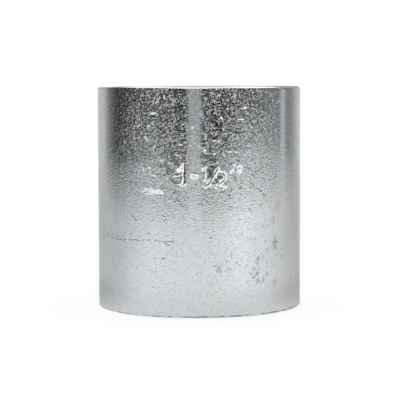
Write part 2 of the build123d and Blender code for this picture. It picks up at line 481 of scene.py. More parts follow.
def wallPatch():
    # Square cells cover the wall. A cell that a mark touches becomes a fine grid, its neighbours become fans
    # that reach every point of the fine cells' sides, and all the others stay single quads.
    around, high, finer = wall["cellsRound"], wall["cellsUp"], wall["finer"]
    stride = around * finer

    def lattice(a, b):
        return (a % stride) + stride * b

    def place(ids):
        # The angle and height of a lattice point: rows are spread evenly between the two rounded edges,
        # except for a thin first and last one, which keep an edge's smooth shading off the wall
        angle = ((ids % stride) / stride - 0.5) * turn
        row = (ids // stride) / finer
        low, top = roundingAt(angle, 0), tube["length"] - roundingAt(angle, 1)
        thin = wall["thinRow"]
        share = np.clip((row - 1) / (high - 2), 0, 1)
        thinShare = np.clip(row, 0, 1) - 1 + np.clip(row - high + 1, 0, 1)
        up = low + thin + (top - low - 2 * thin) * share + thin * thinShare
        return angle, up

    column, row = np.meshgrid(np.arange(around), np.arange(high), indexing="ij")
    angle, up = place(lattice(column * finer + finer // 2, row * finer + finer // 2))
    cellSize = turn * tube["radius"] / around / mm
    fine = reachAt(angle * tube["radius"] / mm, up / mm) < wall["markRoom"] * cellSize
    fine[:, :1] = False
    fine[:, -1:] = False

    low, right = np.roll(fine, 1, 1), np.roll(fine, -1, 0)
    top, left = np.roll(fine, -1, 1), np.roll(fine, 1, 0)
    fan = ~fine & (low | right | top | left)
    plain = ~fine & ~fan

    def quadsFrom(a, b, step):
        corners = [(a, b), (a + step, b), (a + step, b + step), (a, b + step)]
        return np.stack([lattice(*corner) for corner in corners], -1)

    p, q = np.meshgrid(np.arange(finer), np.arange(finer), indexing="ij")
    fineColumn = (column[fine] * finer)[:, None] + p.ravel()
    fineRow = (row[fine] * finer)[:, None] + q.ravel()
    quads = np.concatenate([
        quadsFrom(column[plain] * finer, row[plain] * finer, finer),
        quadsFrom(fineColumn.ravel(), fineRow.ravel(), 1),
    ])

    triangles = []
    steps = np.arange(finer)
    sides = [(low, 0, 0, 1, 0), (right, 1, 0, 0, 1), (top, 1, 1, -1, 0), (left, 0, 1, 0, -1)]
    for neighbour, startA, startB, alongA, alongB in sides:
        for divided, count in ((True, finer), (False, 1)):
            chosen = fan & (neighbour == divided)
            a0 = (column[chosen] + startA) * finer
            b0 = (row[chosen] + startB) * finer
            part = steps[:count] * (finer // count)
            a = a0[:, None] + alongA * part
            b = b0[:, None] + alongB * part
            middle = lattice(column[chosen] * finer + finer // 2, row[chosen] * finer + finer // 2)
            tips = [np.repeat(middle[:, None], count, 1), lattice(a, b),
                    lattice(a + alongA * finer // count, b + alongB * finer // count)]
            triangles.append(np.stack(tips, -1).reshape(-1, 3))
    triangles = np.concatenate(triangles)

    used = np.unique(np.concatenate([quads.ravel(), triangles.ravel()]))
    angle, up = place(used)
    relief, dirt, rubbed, dark = marksAt(angle * tube["radius"] / mm, up / mm)
    fromEdge = np.minimum(up, tube["length"] - up)
    calm = smoothStep((fromEdge - wall["plainEdge"]) / wall["plainFade"])
    radius = tube["radius"] - tube["skin"] + calm * (relief * mm + waveAt(angle, up))
    # The lower edge's painted shade joins the dirt and dark shares
    lowShade = edgeShadeAt(angle) * (up < roundingAt(angle, 0) + 0.5 * wall["thinRow"])
    tints = np.stack([np.maximum(dirt, lowShade), rubbed, np.maximum(dark, edgeShade["dark"] * lowShade)])
    points = ringPoint(radius, angle, up)
    return points, np.searchsorted(used, quads), np.searchsorted(used, triangles), tints


def gridQuads(rows, columns, flip):
    # Quads of an open grid whose points are stored row by row
    first = (np.arange(rows - 1)[:, None] * columns + np.arange(columns - 1)).ravel()
    corners = [first, first + 1, first + columns + 1, first + columns]
    return np.stack(corners[::-1] if flip else corners, -1)


def edgePatch(end):
    # The rounded edge and the end face: a quarter circle of the edge's own radius, then level rings inwards
    angle = (np.arange(wall["cellsRound"] + 1) / wall["cellsRound"] - 0.5) * turn
    rounding = roundingAt(angle, end)
    outer = tube["radius"] - tube["skin"]
    bend = np.radians(np.linspace(0, 90, tube["edgeSteps"] + 1))[:, None]
    radius = outer - rounding * (1 - np.cos(bend))
    height = rounding * (1 - np.sin(bend))
    share = np.array(tube["faceRings"])[:, None]
    radius = np.concatenate([radius, radius[-1:] + (tube["mouthRadius"] - radius[-1:]) * share])
    height = np.concatenate([height, 0 * share + 0 * angle])
    # Painted shade on the lower rounding, fading out round the bend
    shadedBend = smoothStep((edgeShade["until"] - bend) / edgeShade["fade"])
    dirt = (1 - end) * edgeShadeAt(angle)[None, :] * shadedBend
    dirt = np.concatenate([dirt, np.zeros((len(share), len(angle)))])
    if end:
        height = tube["length"] - height
    points = ringPoint(radius, angle[None, :] + 0 * radius, height)
    kinds = np.repeat(np.where(np.arange(len(points) - 1) < len(bend) - 1, 0, 1), len(angle) - 1)
    tints = np.stack([dirt.ravel(), 0 * dirt.ravel(), edgeShade["dark"] * dirt.ravel()])
    return points.reshape(-1, 3), gridQuads(len(points), len(angle), end == 0), kinds, tints


thread = {
    "pitch": 25.4 * mm / 11.5,
    "depthPerPitch": 0.8,
    "angle": math.radians(60),
    "flankSteps": 4,
    "columns": wall["cellsRound"] // 2,     # because the mouths' rings join them two to one
}


def mouthRingPatch(end):
    # Triangles that join the end face's last ring to the mouth's edge, which has half as many points
    count = thread["columns"]
    outerAngle = (np.arange(2 * count + 1) / (2 * count) - 0.5) * turn
    innerAngle = (np.arange(count + 1) / count - 0.5) * turn
    mouth = tube["mouthRadius"]
    start = tube["radius"] - tube["skin"] - roundingAt(outerAngle, end)
    level = tube["length"] * end
    outer = ringPoint(start + (mouth - start) * tube["faceRings"][-1], outerAngle, level)
    inner = ringPoint(mouth + 0 * innerAngle, innerAngle, level)
    k = np.arange(count)
    first = 2 * count + 1
    triangles = np.concatenate([
        np.stack([2 * k, 2 * k + 1, first + k], -1),
        np.stack([2 * k + 1, first + k + 1, first + k], -1),
        np.stack([2 * k + 1, 2 * k + 2, first + k + 1], -1),
    ])
    return np.concatenate([outer, inner]), triangles if end else triangles[:, ::-1]


def borePatch():
    # The helical thread between its two countersunk mouths. Rows follow the helix: each is a place on the
    # thread's section, a 60 degree V with small flats, and rises by one pitch in a turn. Near an end the
    # surface is whichever lies further out, the thread or the mouth's 45 degree cone, and a row that leaves
    # the tube is held at its end.
    pitch, steps = thread["pitch"], thread["flankSteps"]
    depth = thread["depthPerPitch"] * pitch
    flank = depth * math.tan(thread["angle"] / 2)
    flat = (pitch - 2 * flank) / 2
    crest, root = tube["crestRadius"], tube["crestRadius"] + depth
    part = np.arange(steps) / steps
    along = np.concatenate([flat + flank * part, flat + flank + flat + flank * part])
    along = np.concatenate([[0], along])
    radius = np.concatenate([[crest], crest + depth * part, root - depth * part])
    turns = math.ceil(tube["length"] / pitch) + 2
    count = len(along)
    start = (np.arange(turns * count) // count - 1) * pitch + np.tile(along, turns)
    section = np.tile(radius, turns)

    angle = (np.arange(thread["columns"] + 1) / thread["columns"] - 0.5) * turn
    height = start[:, None] + pitch * (angle / turn - 0.5)
    height = np.clip(height, 0, tube["length"])
    threadRadius = section[:, None] + 0 * angle
    cone = tube["mouthRadius"] - np.minimum(height, tube["length"] - height)

    # A point of the cone beside the thread slides to where the two cross, so the thread's ends are crisp
    gap = threadRadius - cone
    for near, far in ((slice(0, -1), slice(1, None)), (slice(1, None), slice(0, -1))):
        crossing = (gap[near] < 0) & (gap[far] > 0)
        share = np.where(crossing, gap[near] / np.where(crossing, gap[near] - gap[far], 1), 0)
        height[near] = height[near] + share * (height[far] - height[near])
    cone = tube["mouthRadius"] - np.minimum(height, tube["length"] - height)
    radius = np.where(gap > 0, threadRadius, cone)
    points = ringPoint(radius, angle[None, :] + 0 * height, height)
    return points.reshape(-1, 3), gridQuads(len(height), len(angle), True)


def couplingMesh():
    # All patches in one mesh, with a face's material by its kind and the wall's marks as attributes
    noQuads, noTriangles = np.zeros((0, 4), int), np.zeros((0, 3), int)
    wallPoints, wallQuads, wallTriangles, wallTints = wallPatch()
    patches = [(wallPoints, wallQuads, wallTriangles, 0, wallTints)]
    for end in (0, 1):
        points, quads, kinds, tints = edgePatch(end)
        patches.append((points, quads, noTriangles, kinds, tints))
        points, triangles = mouthRingPatch(end)
        patches.append((points, noQuads, triangles, 1, np.zeros((3, len(points)))))
    points, quads = borePatch()
    patches.append((points, quads, noTriangles, 2, np.zeros((3, len(points)))))

    starts = np.cumsum([0] + [len(p[0]) for p in patches])
    vertices = np.concatenate([p[0] for p in patches])
    give = smoothStep(1 - (tube["length"] - vertices[:, 2]) / tube["sinkFrom"])
    vertices[:, 2] -= sinkAt(vertices[:, 0], vertices[:, 1]) * give
    quads = np.concatenate([p[1] + s for p, s in zip(patches, starts)])
    triangles = np.concatenate([p[2] + s for p, s in zip(patches, starts)])
    kinds = np.concatenate([p[3] + np.zeros(len(p[1]), int) for p in patches]
                           + [p[3] + np.zeros(len(p[2]), int) for p in patches if len(p[2])])
    tints = np.concatenate([p[4] for p in patches], axis=1)

    mesh = bpy.data.meshes.new("coupling_zinc")
    mesh.vertices.add(len(vertices))
    mesh.vertices.foreach_set("co", vertices.astype(np.float32).ravel())
    mesh.loops.add(quads.size + triangles.size)
    corners = np.concatenate([quads.ravel(), triangles.ravel()])
    mesh.loops.foreach_set("vertex_index", corners.astype(np.int32))
    mesh.polygons.add(len(quads) + len(triangles))
    sizes = np.concatenate([np.full(len(quads), 4), np.full(len(triangles), 3)])
    mesh.polygons.foreach_set("loop_start", (np.cumsum(sizes) - sizes).astype(np.int32))
    mesh.polygons.foreach_set("material_index", kinds.astype(np.int32))
    for name, values in zip(("dirt", "rubbed", "dark"), tints):
        mesh.attributes.new(name, "FLOAT", "POINT").data.foreach_set("value", values.astype(np.float32))
    mesh.update(calc_edges=True)

    body = bmesh.new()
    body.from_mesh(mesh)
    bmesh.ops.remove_doubles(body, verts=body.verts, dist=0.001 * mm)
    bmesh.ops.recalc_face_normals(body, faces=body.faces)
    body.to_mesh(mesh)
    body.free()
    mesh.shade_smooth()
    mesh.set_sharp_from_angle(angle=math.radians(35))
    return mesh


# Shader nodes


class NodeDesk:
    # A short way to add nodes to one tree: a number sets a socket and a socket is linked

    def __init__(self, tree):
        self.tree = tree

    def add(self, kind, inputs=None, **settings):
        node = self.tree.nodes.new(kind)
        for name, value in settings.items():
            setattr(node, name, value)
        for name, value in (inputs or {}).items():
            if isinstance(value, bpy.types.NodeSocket):
                self.tree.links.new(value, node.inputs[name])
            else:
                node.inputs[name].default_value = value
        return node

    def math(self, operation, first, second=0.0, third=0.0, clamp=False):
        inputs = {0: first, 1: second, 2: third}
        return self.add("ShaderNodeMath", inputs, operation=operation, use_clamp=clamp).outputs[0]

    def product(self, *values, clamp=False):
        total = values[0]
        for value in values[1:-1]:
            total = self.math("MULTIPLY", total, value)
        return self.math("MULTIPLY", total, values[-1], clamp=clamp)

    def span(self, value, low, high, toLow=0.0, toHigh=1.0, smooth=True):
        kind = "SMOOTHSTEP" if smooth else "LINEAR"
        inputs = {"Value": value, "From Min": low, "From Max": high, "To Min": toLow, "To Max": toHigh}
        return self.add("ShaderNodeMapRange", inputs, interpolation_type=kind).outputs["Result"]

    def mix(self, share, first, second):
        inputs = {"Factor": share, "A": first, "B": second}
        return self.add("ShaderNodeMix", inputs, data_type="FLOAT").outputs["Result"]

    def mixColour(self, share, first, second):
        return self.add("ShaderNodeMix", {0: share, 6: first, 7: second}, data_type="RGBA").outputs[2]

    def noise(self, vector, size, detail=2.0, roughness=0.5, distortion=0.0):
        inputs = {
            "Vector": vector, "Scale": 1 / size, "Detail": detail,
            "Roughness": roughness, "Distortion": distortion,
        }
        return self.add("ShaderNodeTexNoise", inputs).outputs["Fac"]

    def vector(self, operation, first, second):
        return self.add("ShaderNodeVectorMath", {0: first, 1: second}, operation=operation).outputs[0]

    def scaled(self, first, factor):
        return self.add("ShaderNodeVectorMath", {0: first, "Scale": factor}, operation="SCALE").outputs[0]

    def length(self, vector):
        return self.add("ShaderNodeVectorMath", {0: vector}, operation="LENGTH").outputs["Value"]

    def apart(self, vector):
        return self.add("ShaderNodeSeparateXYZ", {0: vector}).outputs


def newGroup(name, inputs, outputs):
    # An empty node group with the named float or vector sockets, and its desk, input and output nodes
    group = bpy.data.node_groups.new(name, "ShaderNodeTree")
    for label, kind, value in inputs:
        socket = group.interface.new_socket(label, in_out="INPUT", socket_type="NodeSocket" + kind)
        if kind == "Float":
            socket.default_value = value
    for label, kind in outputs:
        group.interface.new_socket(label, in_out="OUTPUT", socket_type="NodeSocket" + kind)
    desk = NodeDesk(group)
    source = desk.add("NodeGroupInput").outputs
    sink = desk.add("NodeGroupOutput").inputs
    return group, desk, source, sink


def strokeGroup():
    # Short strokes at random: in each Voronoi cell the place is turned by the cell's own angles and divided
    # by the stroke's length and width. Height is 1 less the squares of that, so it is 1 on the stroke's
    # middle and 0 off it, and Chance is the cell's own random number.
    inputs = [
        ("Vector", "Vector", None),
        ("Cell", "Float", 1 * mm),
        ("Length", "Float", 0.45),
        ("Width", "Float", 0.14),
    ]
    outputs = [("Height", "Float"), ("Chance", "Float")]
    group, desk, source, sink = newGroup("randomStrokes", inputs, outputs)
    scale = desk.math("DIVIDE", 1.0, source["Cell"])
    cell = desk.add("ShaderNodeTexVoronoi", {"Vector": source["Vector"], "Scale": scale}, feature="F1")
    offset = desk.vector("SUBTRACT", source["Vector"], cell.outputs["Position"])
    unit = desk.scaled(offset, scale)
    angles = desk.scaled(cell.outputs["Color"], turn)
    inputs = {"Vector": unit, "Rotation": angles}
    turned = desk.add("ShaderNodeVectorRotate", inputs, rotation_type="EULER_XYZ")
    x, y, z = desk.apart(turned.outputs[0])
    long = desk.math("DIVIDE", x, source["Length"])
    wide = desk.math("DIVIDE", y, source["Width"])
    thick = desk.math("DIVIDE", z, source["Length"])
    squares = desk.math("MULTIPLY_ADD", wide, wide, desk.math("MULTIPLY", thick, thick))
    squares = desk.math("MULTIPLY_ADD", long, long, squares)
    desk.tree.links.new(desk.math("SUBTRACT", 1.0, squares, clamp=True), sink["Height"])
    chance = desk.add("ShaderNodeTexWhiteNoise", {"Vector": cell.outputs["Position"]}, noise_dimensions="3D")
    desk.tree.links.new(chance.outputs["Value"], sink["Chance"])
    return group


dullPatches = {
    "broadSize": 9 * mm,
    "smallSize": 1.6 * mm,
    "smallShare": 0.35,
    "spread": (0.36, 0.64),
    "grainSize": 0.28 * mm,
}


def dullGroup():
    # Large soft patches of tone, two noises of different size that are mixed and spread over 0 to 1, and a
    # fine grain, which is a plain noise
    outputs = [("Patches", "Float"), ("Grain", "Float")]
    group, desk, source, sink = newGroup("dullPatches", [("Vector", "Vector", None)], outputs)
    broad = desk.noise(source["Vector"], dullPatches["broadSize"], 3.0, 0.55, 0.4)
    small = desk.noise(source["Vector"], dullPatches["smallSize"], 4.0, 0.6)
    both = desk.mix(dullPatches["smallShare"], broad, small)
    grain = desk.noise(source["Vector"], dullPatches["grainSize"], 2.0, 0.6)
    desk.tree.links.new(desk.span(both, *dullPatches["spread"]), sink["Patches"])
    desk.tree.links.new(grain, sink["Grain"])
    return group


zinc = {
    "coolColour": (0.605, 0.645, 0.666, 1),
    "warmColour": (0.655, 0.652, 0.660, 1),
    # the colour of dirt, also painted along the lower edge as shade
    "dirtColour": (0.32, 0.31, 0.285, 1),
    "darkColour": (0.02, 0.02, 0.02, 1),   # near black: painted reflection of the dark room and painted shade, also the dark of dirt in scratches
    "hazeColour": (0.89, 0.915, 0.93, 1),
    "rubbedColour": (0.97, 0.98, 0.98, 1),
    "polishedRoughness": 0.070,
    "dullRoughness": 0.100,
    "dirtRoughness": 0.45,
    "hazeRoughness": 0.62,
    "rubbedRoughness": 0.22,
    "rubbedLean": -0.30,                   # rubbed metal leans down by this slope, towards the white table
    "hazeLean": -0.06,
    "warmPatches": 0.60,                   # how warm the plating is in patches, and low on the right
    "warmRight": 0.25,
    "warmFrom": (8 * mm, 24 * mm),
    "warmBelow": (42 * mm, 28 * mm),
    # Strokes, whose lengths and widths are shares of their cell's size
    "coarseStroke": {"Cell": 0.80 * mm, "Length": 0.62, "Width": 0.14},
    "fineStroke": {"Cell": 0.58 * mm, "Length": 0.62, "Width": 0.17},
    "tinyStroke": {"Cell": 0.48 * mm, "Length": 0.62, "Width": 0.17},
    "strokeDepth": 0.008 * mm,
    "fineDepth": 0.006 * mm,
    "ruffleDepth": 0.002 * mm,
    "ruffleSize": 0.38 * mm,
    # Hairlines that hold a little dirt, and a faint mottle
    "hair": {"Cell": 0.75 * mm, "Length": 0.62, "Width": 0.085},
    "hairStroke": (0.0, 0.5),
    "hairChance": (0.40, 0.95),
    "hairDirt": 0.58,
    "hairBelow": (3 * mm, 17 * mm),
    "hairShare": 0.55,                     # they thin out to this share towards the lower end
    "mottleSize": 0.27 * mm,
    "mottleSpread": (0.38, 0.62),
    "mottleDirt": 0.03,
    # The fine grain breaks up the marks: this even share below its first value, in full from its second on
    "dirtGrain": (0.44, 0.56),
    "dirtEven": 0.15,
    "rubbedGrain": (0.30, 0.50),
    "rubbedEven": 0.80,
    "darkGrain": (0.40, 0.52),
    "darkEven": 0.70,
    "darkShare": 0.95,
    # Fine wavy lines that lie mostly level
    "wispSize": 0.9 * mm,
    "wispFlat": 1.7,
    "wispTwist": 1.2,
    "wispGrain": (0.40, 0.56),
    "wispWidth": 0.030,
    "wispDepth": 0.0055 * mm,
    # Still finer ripples, which show where the wall mirrors the table's far edge
    "waveletSize": 0.50 * mm,
    "waveletDepth": 0.032 * mm,
    "waveletBelow": (19 * mm, 33 * mm),
    "waveletLow": 0.50,
    "waveletAbove": (37 * mm, 45 * mm),
    "waveletHigh": 0.10,
    "waveletCool": 0.65,                   # how deep they are between the warm patches
    # Matt strokes: how matt each layer is, from which chance on, and over which part of a stroke's height
    "coarseHaze": 1.0,
    "fineHaze": 1.0,
    "tinyHaze": 0.6,
    "mattChance": (0.34, 0.62),
    "mattStroke": (0.08, 0.38),
    "hazeBelow": (24 * mm, 40 * mm),
    "hazeShare": 0.10,
    # Strokes painted near black between the matt ones, a painted reflection of the dark room, only near the
    # size stamp
    "inkChance": (0.45, 0.20),
    "inkStroke": (0.05, 0.30),
    "inkBelow": (38 * mm, 48 * mm),
    "inkDark": 0.50,
    "inkAbove": (25 * mm, 36 * mm),
    "inkLow": 0.15,
    "inkStrip": 0.30,
    "inkReach": (1.5, 0.45),               # in shares of beatenReach
    "inkGain": 1.7,
    # Where the wall is calm: low down, in a strip down the middle and at its two sides
    "calmBelow": (18 * mm, 36 * mm),
    "calmShare": 0.32,
    "stripMiddle": -1.25 * mm,
    "stripEdge": (1.5 * mm, 2.2 * mm),
    "stripShare": 0.62,
    "calmSides": (14 * mm, 22.5 * mm),
    "sideShare": 0.27,
    # The metal round the size stamp was beaten harder: place and reach in mm
    "beatenPlace": (0.5, -27.0, 38.0),
    "beatenReach": (20.0, 30.0, 11.0),
    "beatenFade": (1.0, 0.4),              # in shares of beatenReach
    "beatenGain": 2.6,
}

# The faced ends and the tapped bore, under the same plating
machined = {
    "endTone": 0.72,
    "endRoughness": (0.24, 0.42),
    "ringSize": 0.16 * mm,
    "ringDrift": 0.04,             # how slowly the rings change across the piece
    "ringDepth": 0.008 * mm,
    "nick": {"Cell": 0.8 * mm, "Length": 0.5, "Width": 0.2},
    "nickDepth": 0.012 * mm,
    "boreTone": 0.70,
    "boreRoughness": (0.26, 0.40),
    "tapSize": 0.12 * mm,
    "tapDrift": 0.03,
    "tapDepth": 0.005 * mm,
}


def newMaterial(name):
    # An empty material, its desk, and the place on the object that its nodes read
    material = bpy.data.materials.new(name)
    material.use_nodes = True
    desk = NodeDesk(material.node_tree)
    material.node_tree.nodes.clear()
    place = desk.add("ShaderNodeTexCoord").outputs["Object"]
    return material, desk, place


def placeGroup(desk, group, inputs):
    return desk.add("ShaderNodeGroup", inputs, node_tree=group).outputs


def finishMetal(desk, colour, roughness, normal):
    inputs = {"Base Color": colour, "Metallic": 1.0, "Roughness": roughness, "Normal": normal}
    shader = desk.add("ShaderNodeBsdfPrincipled", inputs)
    desk.add("ShaderNodeOutputMaterial", {"Surface": shader.outputs["BSDF"]})


def bumpFrom(desk, height):
    # The normal of a surface that stands this many metres higher
    return desk.add("ShaderNodeBump", {"Height": height, "Strength": 1.0, "Distance": 1.0}).outputs["Normal"]


def wallMaterial(strokes, dull):
    # The plated wall: a mirror that is beaten, matt, dirty, rubbed, or painted near black as the dark room's
    # reflection and as shade, by the masks worked out here
    material, desk, place = newMaterial("zincWall")
    x, y, z = desk.apart(place)
    patches = placeGroup(desk, dull, {"Vector": place})
    grain = patches["Grain"]
    coarse, fine, tiny, hair = [placeGroup(desk, strokes, {"Vector": place, **zinc[kind]})
                                for kind in ("coarseStroke", "fineStroke", "tinyStroke", "hair")]
    dirt, rubbed, dark = [desk.add("ShaderNodeAttribute", attribute_name=name).outputs["Fac"]
                          for name in ("dirt", "rubbed", "dark")]

    # The wall is beaten all over its upper part, harder round the size stamp, and calmer towards the lower
    # end and the two sides
    sides = desk.span(desk.math("ABSOLUTE", x), *zinc["calmSides"], 1.0, zinc["sideShare"])
    beaten = desk.product(desk.span(z, *zinc["calmBelow"], zinc["calmShare"], 1.0), sides)
    fromStamp = desk.vector("SUBTRACT", place, [v * mm for v in zinc["beatenPlace"]])
    fromStamp = desk.vector("MULTIPLY", fromStamp, [1 / (v * mm) for v in zinc["beatenReach"]])
    far = desk.length(fromStamp)
    deeper = desk.span(far, *zinc["beatenFade"], 1.0, zinc["beatenGain"])
    fromStrip = desk.math("ABSOLUTE", desk.math("SUBTRACT", x, zinc["stripMiddle"]))

    # Near the stamp some strokes are painted near black, a painted reflection of the dark room, as the dark
    # marks are
    def paintDark(part):
        shown = desk.span(part["Chance"], *zinc["inkChance"])
        return desk.product(desk.span(part["Height"], *zinc["inkStroke"]), shown)

    paintedDarkStrokes = desk.product(
        desk.math("MAXIMUM", paintDark(coarse), paintDark(fine)),
        desk.span(z, *zinc["inkBelow"], zinc["inkDark"], 0.0),
        desk.span(z, *zinc["inkAbove"], zinc["inkLow"], 1.0),
        desk.span(fromStrip, *zinc["stripEdge"], zinc["inkStrip"], 1.0),
        desk.span(far, *zinc["inkReach"], 0.0, zinc["inkGain"]),
        clamp=True,
    )
    dark = desk.product(dark, desk.span(grain, *zinc["darkGrain"], zinc["darkEven"], 1.0))
    dark = desk.math("MAXIMUM", dark, paintedDarkStrokes)
    plain = desk.math("SUBTRACT", 1.0, dark)

    # Chance sinks or raises a stroke, and leaves most of them faint and a few deep
    def signed(part):
        chance = desk.span(part["Chance"], 0.0, 1.0, -1.0, 1.0, smooth=False)
        return desk.product(part["Height"], chance, desk.math("ABSOLUTE", chance))

    ruffle = desk.noise(place, zinc["ruffleSize"], 1.0, 0.5)
    height = desk.math("MULTIPLY", signed(coarse), zinc["strokeDepth"])
    height = desk.math("MULTIPLY_ADD", signed(fine), zinc["fineDepth"], height)
    height = desk.math("MULTIPLY_ADD", ruffle, zinc["ruffleDepth"], height)
    height = desk.product(height, beaten, deeper)

    # Wisps are the lines where one noise crosses its middle, and wavelets are a plain noise
    level = desk.vector("MULTIPLY", place, (1, 1, zinc["wispFlat"]))
    wisp = desk.noise(level, zinc["wispSize"], 1.0, 0.5, zinc["wispTwist"])
    wisp = desk.span(desk.math("ABSOLUTE", desk.math("SUBTRACT", wisp, 0.5)), zinc["wispWidth"], 0.0)
    wisp = desk.product(wisp, desk.span(grain, *zinc["wispGrain"]))
    height = desk.math("MULTIPLY_ADD", wisp, -zinc["wispDepth"], height)
    wavelet = desk.product(
        desk.noise(level, zinc["waveletSize"], 1.0, 0.6),
        desk.span(z, *zinc["waveletBelow"], zinc["waveletLow"], 1.0),
        desk.span(z, *zinc["waveletAbove"], 1.0, zinc["waveletHigh"]),
        desk.mix(patches["Patches"], zinc["waveletCool"], 1.0),
    )
    height = desk.math("MULTIPLY_ADD", wavelet, zinc["waveletDepth"], height)

    # Strokes are matt where they cut the polish, and three layers of them cover the wall
    def matt(part, gain):
        shown = desk.span(part["Chance"], *zinc["mattChance"], 0.0, gain)
        return desk.product(desk.span(part["Height"], *zinc["mattStroke"]), shown)

    haze = desk.math("MAXIMUM", matt(coarse, zinc["coarseHaze"]), matt(fine, zinc["fineHaze"]))
    haze = desk.product(
        desk.math("MAXIMUM", haze, matt(tiny, zinc["tinyHaze"])),
        desk.span(z, *zinc["hazeBelow"], zinc["hazeShare"], 1.0),
        desk.span(fromStrip, *zinc["stripEdge"], zinc["stripShare"], 1.0),
        sides,
        plain,
        clamp=True,
    )

    # Dirt, with the lower edge's painted shade, and rubbed metal are broken up by the fine grain
    broken = desk.mix(zinc["dirtEven"], desk.span(grain, *zinc["dirtGrain"]), 1.0)
    dirt = desk.product(dirt, broken, clamp=True)
    line = desk.product(
        desk.span(hair["Height"], *zinc["hairStroke"]),
        desk.span(hair["Chance"], *zinc["hairChance"], 0.0, zinc["hairDirt"]),
        desk.span(z, *zinc["hairBelow"], zinc["hairShare"], 1.0),
    )
    mottle = desk.noise(place, zinc["mottleSize"], 1.0, 0.5)
    mottle = desk.span(mottle, *zinc["mottleSpread"], 0.0, zinc["mottleDirt"])
    dirt = desk.math("MAXIMUM", dirt, desk.math("MAXIMUM", line, mottle))
    broken = desk.span(grain, *zinc["rubbedGrain"], zinc["rubbedEven"], 1.0)
    rubbed = desk.product(rubbed, broken, clamp=True)

    warm = desk.span(z, *zinc["warmBelow"], 0.0, zinc["warmRight"])
    warm = desk.product(desk.span(x, *zinc["warmFrom"]), warm)
    warm = desk.math("MULTIPLY_ADD", patches["Patches"], zinc["warmPatches"], warm, clamp=True)
    colour = desk.mixColour(warm, zinc["coolColour"], zinc["warmColour"])
    roughness = desk.mix(patches["Patches"], zinc["polishedRoughness"], zinc["dullRoughness"])
    for kind, share in (("haze", haze), ("rubbed", rubbed), ("dirt", dirt)):
        colour = desk.mixColour(share, colour, zinc[kind + "Colour"])
        roughness = desk.mix(share, roughness, zinc[kind + "Roughness"])
    # Painted reflection and shade: the dark share turns the colour near black
    dark = desk.math("MULTIPLY", dark, zinc["darkShare"])
    colour = desk.mixColour(dark, colour, zinc["darkColour"])

    lean = desk.math("MULTIPLY", haze, zinc["hazeLean"])
    lean = desk.math("MULTIPLY_ADD", rubbed, zinc["rubbedLean"], lean)
    leaning = desk.add("ShaderNodeCombineXYZ", {2: lean}).outputs[0]
    normal = desk.vector("ADD", bumpFrom(desk, height), leaning)
    normal = desk.add("ShaderNodeVectorMath", {0: normal}, operation="NORMALIZE").outputs[0]
    finishMetal(desk, colour, roughness, normal)
    return material


def roundAxis(desk, place, drift):
    # The distance from the axis, and two numbers that drift slowly across the piece
    x, y, z = desk.apart(place)
    fromAxis = desk.math("SQRT", desk.math("MULTIPLY_ADD", x, x, desk.math("MULTIPLY", y, y)))
    inputs = {0: fromAxis, 1: desk.math("MULTIPLY", x, drift), 2: desk.math("MULTIPLY", y, drift)}
    return desk.add("ShaderNodeCombineXYZ", inputs).outputs[0]


def darkerZinc(desk, patches, tone):
    # The plating's two colours, each times the tone and mixed by the patches
    cool, warm = [[part * tone for part in zinc[name][:3]] + [1] for name in ("coolColour", "warmColour")]
    return desk.mixColour(patches["Patches"], cool, warm)


def endMaterial(strokes, dull):
    # The faced ends: rings of fine tool marks about the axis, and a few nicks
    material, desk, place = newMaterial("zincEndFace")
    patches = placeGroup(desk, dull, {"Vector": place})
    rings = desk.noise(roundAxis(desk, place, machined["ringDrift"]), machined["ringSize"], 2.0, 0.6)
    nicks = placeGroup(desk, strokes, {"Vector": place, **machined["nick"]})
    height = desk.math("MULTIPLY", rings, machined["ringDepth"])
    height = desk.math("MULTIPLY_ADD", nicks["Height"], -machined["nickDepth"], height)
    roughness = desk.mix(patches["Grain"], *machined["endRoughness"])
    finishMetal(desk, darkerZinc(desk, patches, machined["endTone"]), roughness, bumpFrom(desk, height))
    return material


def threadMaterial(dull):
    # The tapped thread: faint lines of the tap along the helix, and duller plating down in the bore
    material, desk, place = newMaterial("zincThread")
    patches = placeGroup(desk, dull, {"Vector": place})
    torn = desk.noise(roundAxis(desk, place, machined["tapDrift"]), machined["tapSize"], 2.0, 0.6)
    height = desk.math("MULTIPLY", torn, machined["tapDepth"])
    roughness = desk.mix(patches["Patches"], *machined["boreRoughness"])
    finishMetal(desk, darkerZinc(desk, patches, machined["boreTone"]), roughness, bumpFrom(desk, height))
    return material


mesh = couplingMesh()
mesh.calc_loop_triangles()
print("coupling:", len(mesh.vertices), "vertices,", len(mesh.loop_triangles), "triangles")
strokes, dull = strokeGroup(), dullGroup()
for material in (wallMaterial(strokes, dull), endMaterial(strokes, dull), threadMaterial(dull)):
    mesh.materials.append(material)
print("materials:", ", ".join(material.name for material in mesh.materials))
coupling = bpy.data.objects.new("coupling_zinc", mesh)
bpy.context.scene.collection.objects.link(coupling)
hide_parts("coupling")
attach(coupling, "root")


# The studio
# The wall is a mirror of the room at eye level. It shows a white table that ends about half a metre away, a
# dim room in front beyond it with two pale upright cards, and the white backdrop behind.

